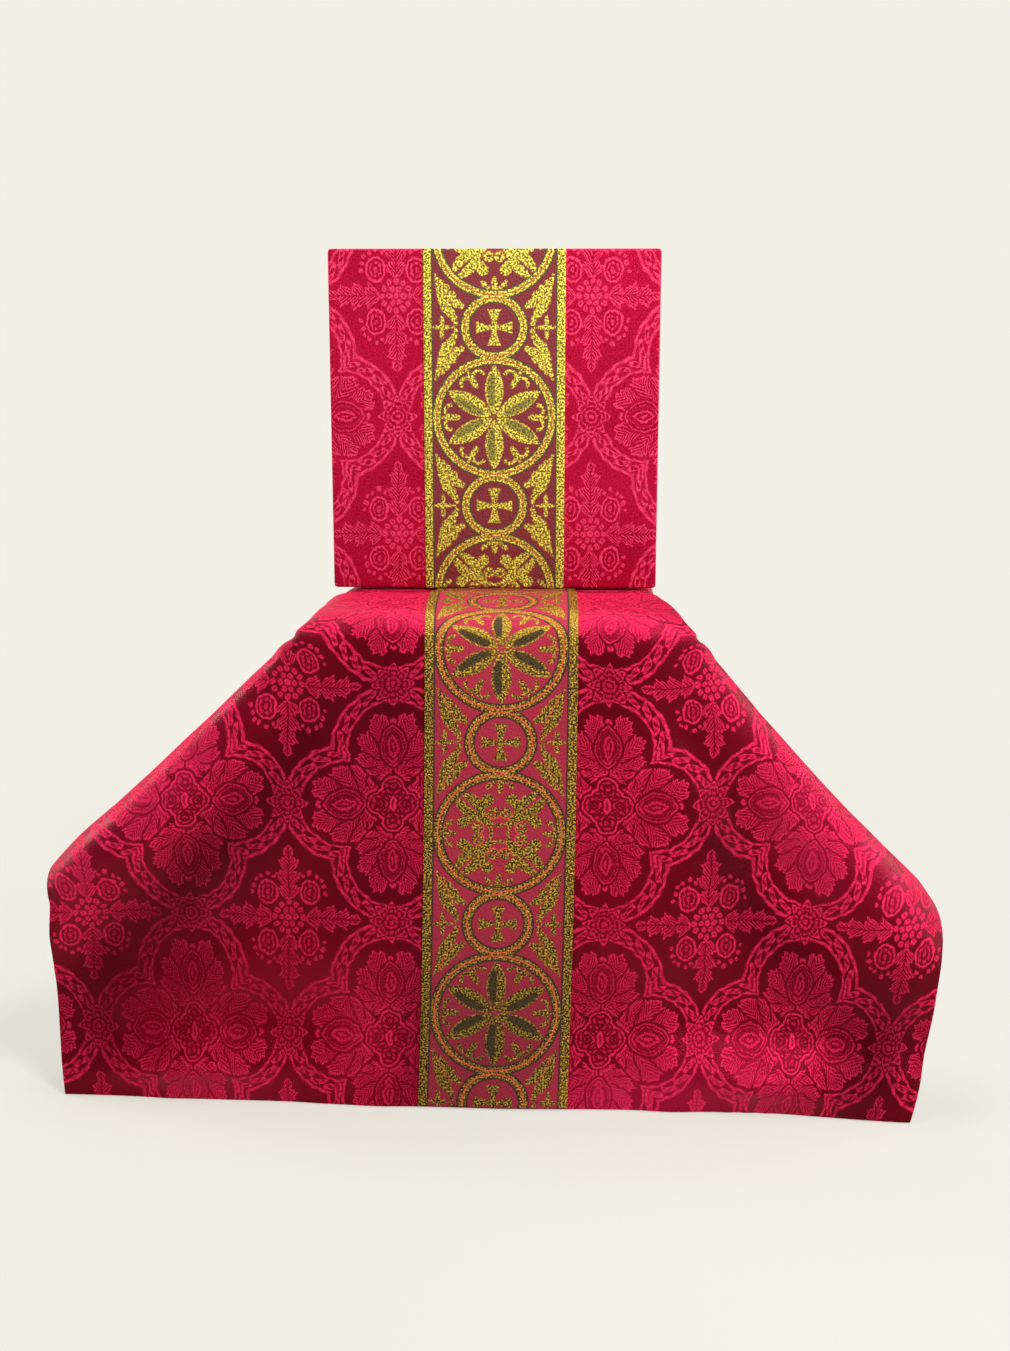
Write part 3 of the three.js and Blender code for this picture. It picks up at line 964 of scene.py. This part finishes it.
def orphreyFinish(name, s):
    # gold thread with a dark outline, on a twilled ground
    material, knot = newMaterial(name)
    across, along = clothPlace(knot, s["source"])
    grain = noise(knot, across, along, 1.1)
    x = across - s["origin"][0]
    y = (along - s["origin"][1]) * (orphreyWeave["spacing"] / s["spacing"])
    goldField, edge, redLine, core = orphreyFields(x, y)
    rough = (grain - 0.5) * 0.9
    gold = soft(goldField + rough, 0.6)
    outline = soft(edge + 1.0 + rough, 0.7)
    red = soft(redLine + rough * 0.4, 0.4)
    dark = soft(core + rough, 1.0)
    gritScale, gritGain, gritFrom = s["grit"]
    # bright specks: the metal thread's own texture, and painted glints
    spark = noise(knot, across, along, gritScale, 3.0)
    metal = unit((spark - gritFrom) * gritGain).tint(s["gold"], s["bright"])
    twill = unit(0.5 + 0.5 * sine((x + y) * 3.2))
    ground = (twill * 0.45 + (grain - 0.5)).tint(s["ground"], tuple(0.5 * c for c in s["ground"]))
    # on the veil, painted shade and painted highlight from the painted light kept on its points
    if s["source"] == "UV":
        metal = withPaintedLight(knot, metal, s["bright"])
        ground = withPaintedLight(knot, ground, tuple(1.5 * c for c in s["ground"]))
    metal = (dark * s["coreShare"]).tint(metal, s["core"])
    colour = outline.tint(ground, s["outline"])
    colour = (red * 0.85).tint(gold.tint(colour, metal), s["line"])
    shine = gold * (1 - 0.6 * dark) * (1 - red)
    feed(knot, Base_Color=colour, Roughness=0.62 - 0.25 * shine, Metallic=shine * 0.55)
    feed(knot, Specular_IOR_Level=s["specular"], Normal=bumpFrom(knot, spark, 0.8, 0.9))
    return material


def woodFinish(name, dark, light):
    material, knot = newMaterial(name)
    coordinate = knot.node("ShaderNodeTexCoord", out="Object")
    mapped = knot.node("ShaderNodeMapping", sockets={"Vector": coordinate, "Scale": (34, 34, 5)})
    rings = unit(0.5 + 0.3 * sine(solidNoise(knot, mapped, 1.0, 1.0) * 34.0))
    pores = solidNoise(knot, mapped, 9.0, 3.0)
    colour = unit(rings * 0.7 + pores * 0.5 - 0.1).tint(dark, light)
    feed(knot, Base_Color=colour, Roughness=0.38 + 0.2 * pores, Coat_Weight=0.15)
    feed(knot, Normal=bumpFrom(knot, pores, 0.4, 0.4))
    return material


def linenFinish(name, warm, cool):
    material, knot = newMaterial(name)
    coordinate = knot.node("ShaderNodeTexCoord", out="Object")
    x, y, z = (part * 1000.0 for part in partsOf(knot, coordinate))
    slub = solidNoise(knot, coordinate, 320.0, 3.0)
    weave = sine((x + z * 0.7) * 5.0) * sine((y + z * 0.7) * 5.0)
    colour = unit(0.5 + weave * 0.25 + (slub - 0.5) * 1.2).tint(warm, cool)
    feed(knot, Base_Color=colour, Roughness=0.75 + 0.2 * slub, Sheen_Weight=0.2)
    feed(knot, Normal=bumpFrom(knot, weave * 0.5 + slub, 0.5, 0.3))
    return material


def liningFinish(name, s):
    material, knot = newMaterial(name)
    across, along = clothPlace(knot, s["source"])
    grain = noise(knot, across, along, 0.7, 3.0)
    slub = noise(knot, across * 0.06, along, 0.8)
    colour = unit(0.3 + (grain - 0.5) * 1.4 + (slub - 0.5)).tint(s["ground"], s["figure"])
    feed(knot, Base_Color=colour, Roughness=0.38 + 0.2 * grain, Metallic=0.2)
    feed(knot, Sheen_Weight=0.3, Sheen_Roughness=0.4, Sheen_Tint=(1.0, 0.25, 0.45))
    feed(knot, Normal=bumpFrom(knot, grain + slub, 0.5, 0.3))
    return material


veilDamask = damaskFinish("veilDamask", damaskOfVeil)
burseDamask = damaskFinish("burseDamask", litDamaskOfBurse)
shadedVeilGold = orphreyFinish("shadedVeilGold", shadedGoldOfVeil)
litBurseGold = orphreyFinish("litBurseGold", litGoldOfBurse)
lining = liningFinish("lining", damaskOfVeil)
litBurseLining = liningFinish("litBurseLining", litDamaskOfBurse)
standWood = woodFinish("standWood", (0.15, 0.062, 0.024), (0.30, 0.145, 0.062))
boardLinen = linenFinish("boardLinen", (0.62, 0.55, 0.42), (0.80, 0.75, 0.64))
print("finishes made")

# where the cloth's own measures sit in the room, in millimetres
standLow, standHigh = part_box("stand")
shift = np.array([
    (standLow.x + standHigh.x) * 500 - veil["aside"],
    (standLow.y + standHigh.y) * 500,
    0.0,
])


def alone(piece):
    bpy.ops.object.select_all(action="DESELECT")
    piece.select_set(True)
    bpy.context.view_layer.objects.active = piece


def added(name, add, **settings):
    bpy.ops.object.select_all(action="DESELECT")
    add(**settings)
    piece = bpy.context.active_object
    piece.name = piece.data.name = name
    return piece


def selectAll(piece):
    alone(piece)
    bpy.ops.object.mode_set(mode="EDIT")
    bpy.ops.mesh.select_all(action="SELECT")


def faceOutwards(piece):
    selectAll(piece)
    bpy.ops.mesh.normals_make_consistent(inside=False)
    bpy.ops.object.mode_set(mode="OBJECT")


def movePoints(piece, x, y, z):
    piece.data.vertices.foreach_set("co", (np.stack([x, y, z], -1) / 1000).astype(np.float32).ravel())


def meshPiece(name, points, flatPlace, materials):
    columns, rows = points.shape[:2]
    corner = np.arange((columns - 1) * rows).reshape(columns - 1, rows)[:, :-1].ravel()
    faces = np.stack([corner, corner + rows, corner + rows + 1, corner + 1], -1)
    mesh = bpy.data.meshes.new(name)
    mesh.from_pydata((points.reshape(-1, 3) / 1000).tolist(), [], faces.tolist())
    layer = mesh.uv_layers.new(name="cloth")
    layer.data.foreach_set("uv", flatPlace.reshape(-1, 2)[faces.ravel()].astype(np.float32).ravel())
    for material in materials:
        mesh.materials.append(material)
    piece = bpy.data.objects.new(name, mesh)
    bpy.context.collection.objects.link(piece)
    return piece


# the painted shade, highlight and sheen of the crease tables, kept on the cloth's points
def keepPaintedLight(piece, u, t):
    for name, folds in (("paintedLight", paintedLightFolds), ("paintedSheen", paintedSheenFolds)):
        values = np.clip(foldsOut(u, t, folds), -1, 1).astype(np.float32)
        piece.data.attributes.new(name, "FLOAT", "POINT").data.foreach_set("value", values.ravel())


def thicken(piece, millimetres, inside=0):
    alone(piece)
    wall = piece.modifiers.new("wall", "SOLIDIFY")
    wall.thickness, wall.offset = millimetres / 1000, 0.0
    wall.material_offset = inside
    bpy.ops.object.modifier_apply(modifier="wall")
    bpy.ops.object.shade_smooth_by_angle(angle=radians(50))


def clothGrid(wide, long, columns, rows, start=0.0):
    across, along = np.linspace(-wide / 2, wide / 2, columns), np.linspace(start, long - start, rows)
    return np.meshgrid(across, along, indexing="ij")


def drapedPiece(name, s, u, t, points, materials):
    points = points + shift
    points[..., 2] = np.maximum(points[..., 2], s["lowest"])
    flatPlace = np.stack([u / veil["side"] + 0.5, t / veil["side"]], -1)
    piece = meshPiece(name, points, flatPlace, materials)
    keepPaintedLight(piece, u, t)
    thicken(piece, s["wall"], 1)
    return piece


def makeVeil():
    u, t = clothGrid(veil["side"], veil["side"], veil["columns"], veil["rows"])
    return drapedPiece("veilCloth", veil, u, t, dressedForm(u, t), [veilDamask, lining])


veilBand = {
    "width": 90.0,
    "margin": 2.0,  # from each hem
    "lift": 1.35,
    "turnDown": 0.2,
    "edge": 2.2,  # over which it turns down
    "wall": 0.9,
    "lowest": 0.6,
    "columns": 61,
    "rows": 371,
}


def makeVeilBand():
    s = veilBand
    u, t = clothGrid(s["width"], veil["side"], s["columns"], s["rows"], s["margin"])
    edge = ramp(s["width"] / 2 - np.abs(u), 0, s["edge"])
    lift = s["lift"] - s["turnDown"] * (1 - edge)
    points = dressedForm(u, t) + normalOf(dressedForm, u, t) * lift[..., None]
    return drapedPiece("veilBandCloth", s, u, t, points, [shadedVeilGold, lining])


burse = {
    "corner": 1.8,
    "depths": (0, 0.3, 0.9, 2.1, 2.7, 3.0),  # of the rolled edge's rows, behind the face
    "insets": (1.1, 0.35, 0, 0, 0.35, 1.1),
    "columns": 84,
    "rows": 86,
}
burseStrip = {
    "corner": 0.6,
    "depths": (0, 0.25, 0.9),
    "insets": (0.35, 0.0, 0.0),
    "columns": 48,
    "rows": 96,
}


def roundedIn(x, z, low, high, corner):
    # moves a point of a square outline on to the same outline with round corners
    middle, reach = (low + high) / 2, (high - low) / 2
    over = np.stack([np.abs(x - middle[0]) - reach[0], np.abs(z - middle[1]) - reach[1]]) + corner
    length = np.hypot(*np.maximum(over, 0))
    outside = (over > 0).all(0) & (length > corner)
    back = np.where(outside, corner / np.maximum(length, 1e-9), 1.0)
    x = x + np.where(back < 1, -np.sign(x - middle[0]) * over[0] * (1 - back), 0)
    z = z + np.where(back < 1, -np.sign(z - middle[1]) * over[1] * (1 - back), 0)
    return x, z


def makePanel(name, node, facing, s, material):
    # a grid the size of the face, drawn back row by row with a rolled edge
    low, high = (np.array(c) * 1000 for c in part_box(node))
    size, middle = high - low, (low + high) / 2
    face = low[1] if facing < 0 else high[1]
    piece = added(
        name,
        bpy.ops.mesh.primitive_grid_add,
        x_subdivisions=s["columns"],
        y_subdivisions=s["rows"],
        size=1,
        location=(middle[0] / 1000, face / 1000, middle[2] / 1000),
        rotation=(-facing * pi / 2, 0, 0),
    )
    piece.scale = (size[0] / 1000, size[2] / 1000, 1)
    bpy.ops.object.transform_apply(location=True, rotation=True, scale=True)
    selectAll(piece)
    for near, far in zip(s["depths"], s["depths"][1:]):
        step = -facing * (far - near) / 1000
        bpy.ops.mesh.extrude_region_move(TRANSFORM_OT_translate={"value": (0, step, 0)})
    bpy.ops.object.mode_set(mode="OBJECT")
    faceOutwards(piece)
    x, y, z = np.array([v.co for v in piece.data.vertices]).T * 1000
    inset = np.interp((y - face) * -facing, s["depths"], s["insets"])
    onEdge = np.minimum.reduce([x - low[0], high[0] - x, z - low[2], high[2] - z]) < 0.4
    x, z = roundedIn(x, z, low[[0, 2]], high[[0, 2]], s["corner"])
    x = np.where(onEdge, middle[0] + (x - middle[0]) * (1 - 2 * inset / size[0]), x)
    z = np.where(onEdge, middle[2] + (z - middle[2]) * (1 - 2 * inset / size[2]), z)
    movePoints(piece, x, y, z)
    piece.data.materials.append(material)
    alone(piece)
    bpy.ops.object.shade_smooth_by_angle(angle=radians(65))
    return piece


gusset = {
    "tuck": 9.0,
    "wall": 1.0,
    "turns": 17,
    "rows": 40,
    "bend": 0.16,  # how round the fold is
    "slack": 0.5,
}


def makeGusset(name, node, side):
    # a strip of cloth folded inwards between the two panels
    s = gusset
    low, high = (np.array(c) * 1000 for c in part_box(node))
    piece = added(
        name,
        bpy.ops.mesh.primitive_grid_add,
        x_subdivisions=s["turns"],
        y_subdivisions=s["rows"],
        size=1,
    )
    place = np.array([v.co for v in piece.data.vertices])
    across, up = place[:, 0] * 2, place[:, 1] + 0.5
    outer = (high[0] if side > 0 else low[0]) - side * s["wall"] * 0.8
    spread = np.sqrt(across * across + s["bend"] ** 2) - s["bend"]
    spread /= np.sqrt(1 + s["bend"] ** 2) - s["bend"]
    slack = s["slack"] * np.sin(up * 9 + side) * (1 - spread)
    x = outer - side * (s["tuck"] * (1 - spread) + slack)
    y = (low[1] + high[1]) / 2 + across * (high[1] - low[1]) / 2
    movePoints(piece, x, y, low[2] + up * (high[2] - low[2]))
    piece.data.materials.append(litBurseLining)
    thicken(piece, s["wall"])
    faceOutwards(piece)
    return piece


spine = {"cuts": 7, "hang": 0.7, "ends": 12.0, "edge": 0.7}


def makeSpine():
    # the cloth hangs a little between the panels
    s = spine
    low, high = (np.array(c) * 1000 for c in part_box("burse_spine"))
    size, middle = high - low, (low + high) / 2
    add = bpy.ops.mesh.primitive_cube_add
    piece = added("burseSpineCloth", add, size=1, location=tuple(middle / 1000))
    piece.scale = size / 1000
    bpy.ops.object.transform_apply(location=True, rotation=True, scale=True)
    selectAll(piece)
    bpy.ops.mesh.subdivide(number_cuts=s["cuts"])
    bpy.ops.object.mode_set(mode="OBJECT")
    x, y, z = np.array([v.co for v in piece.data.vertices]).T * 1000
    across = (y - middle[1]) / (size[1] / 2)
    ends = np.minimum(np.minimum(x - low[0], high[0] - x) / s["ends"], 1)
    movePoints(piece, x, y, z - np.where(z > middle[2], s["hang"] * (1 - across * across) * ends, 0))
    piece.data.materials.append(burseDamask)
    alone(piece)
    edge = piece.modifiers.new("edge", "BEVEL")
    edge.width, edge.segments = s["edge"] / 1000, 3
    edge.limit_method, edge.angle_limit = "ANGLE", radians(60)
    bpy.ops.object.modifier_apply(modifier="edge")
    bpy.ops.object.shade_smooth_by_angle(angle=radians(50))
    return piece


def dress(node, material):
    piece = bpy.data.objects[node]
    for socket in piece.material_slots:
        socket.material = material
    if not piece.material_slots:
        piece.data.materials.append(material)


veilCloth = makeVeil()
print("veil draped")
veilBandCloth = makeVeilBand()
print("veil's band laid")
burseFront = makePanel("burseFrontPanel", "burse_front", -1, burse, burseDamask)
burseBack = makePanel("burseBackPanel", "burse_back", 1, burse, burseDamask)
burseBand = makePanel("burseBandCloth", "burse_orphrey", -1, burseStrip, litBurseGold)
gussetLeft = makeGusset("burseGussetLeftCloth", "burse_gusset_left", -1)
gussetRight = makeGusset("burseGussetRightCloth", "burse_gusset_right", 1)
burseSpine = makeSpine()
print("burse made")
dress("stand", standWood)
dress("board", boardLinen)


# the floor: lit near the piece, and an even glow beyond it
def makeFloor():
    circle = bpy.ops.mesh.primitive_circle_add
    floor = added("floor", circle, vertices=96, radius=0.6, fill_type="NGON")
    bpy.ops.object.mode_set(mode="EDIT")
    bpy.ops.mesh.select_mode(type="EDGE")
    bpy.ops.mesh.select_all(action="SELECT")
    bpy.ops.mesh.region_to_loop()
    for reach in (2, 4, 10):
        bpy.ops.mesh.extrude_edges_move()
        bpy.ops.transform.resize(value=(reach, reach, 1))
    bpy.ops.object.mode_set(mode="OBJECT")
    material, knot = newMaterial("paper")
    coordinate = knot.node("ShaderNodeTexCoord", out="Object")
    fibre = solidNoise(knot, coordinate, 3.0, 2.0)
    x, y, _ = partsOf(knot, coordinate)
    share = unit((distance(x, y) - studio["glowFrom"]) / studio["glowOver"])
    share = studio["glowLeast"] + (1 - studio["glowLeast"]) * share * share * (3 - 2 * share)
    colour = fibre.tint(studio["floor"], tuple(c * 0.985 for c in studio["floor"]))
    feed(knot, Base_Color=share.tint(colour, (0, 0, 0)), Roughness=0.9, Specular_IOR_Level=0.0)
    feed(knot, Emission_Color=share.tint((0, 0, 0), studio["paper"]), Emission_Strength=1.0)
    floor.data.materials.append(material)


makeFloor()
print("floor laid")

# what each piece stands for, and what it rides on
standsFor = {
    veilCloth: (["veil"], "veil_damask"),
    veilBandCloth: (["veil_orphrey"], "veil_orphrey"),
    burseFront: (["burse_front"], "burse_damask"),
    burseBack: (["burse_back"], "burse_damask"),
    burseSpine: (["burse_spine"], "burse_damask"),
    gussetLeft: (["burse_gusset_left"], "burse_damask"),
    gussetRight: (["burse_gusset_right"], "burse_damask"),
    burseBand: (["burse_orphrey"], "burse_orphrey"),
}
for piece, (nodes, slot) in standsFor.items():
    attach(piece, "root")
    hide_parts(*nodes)
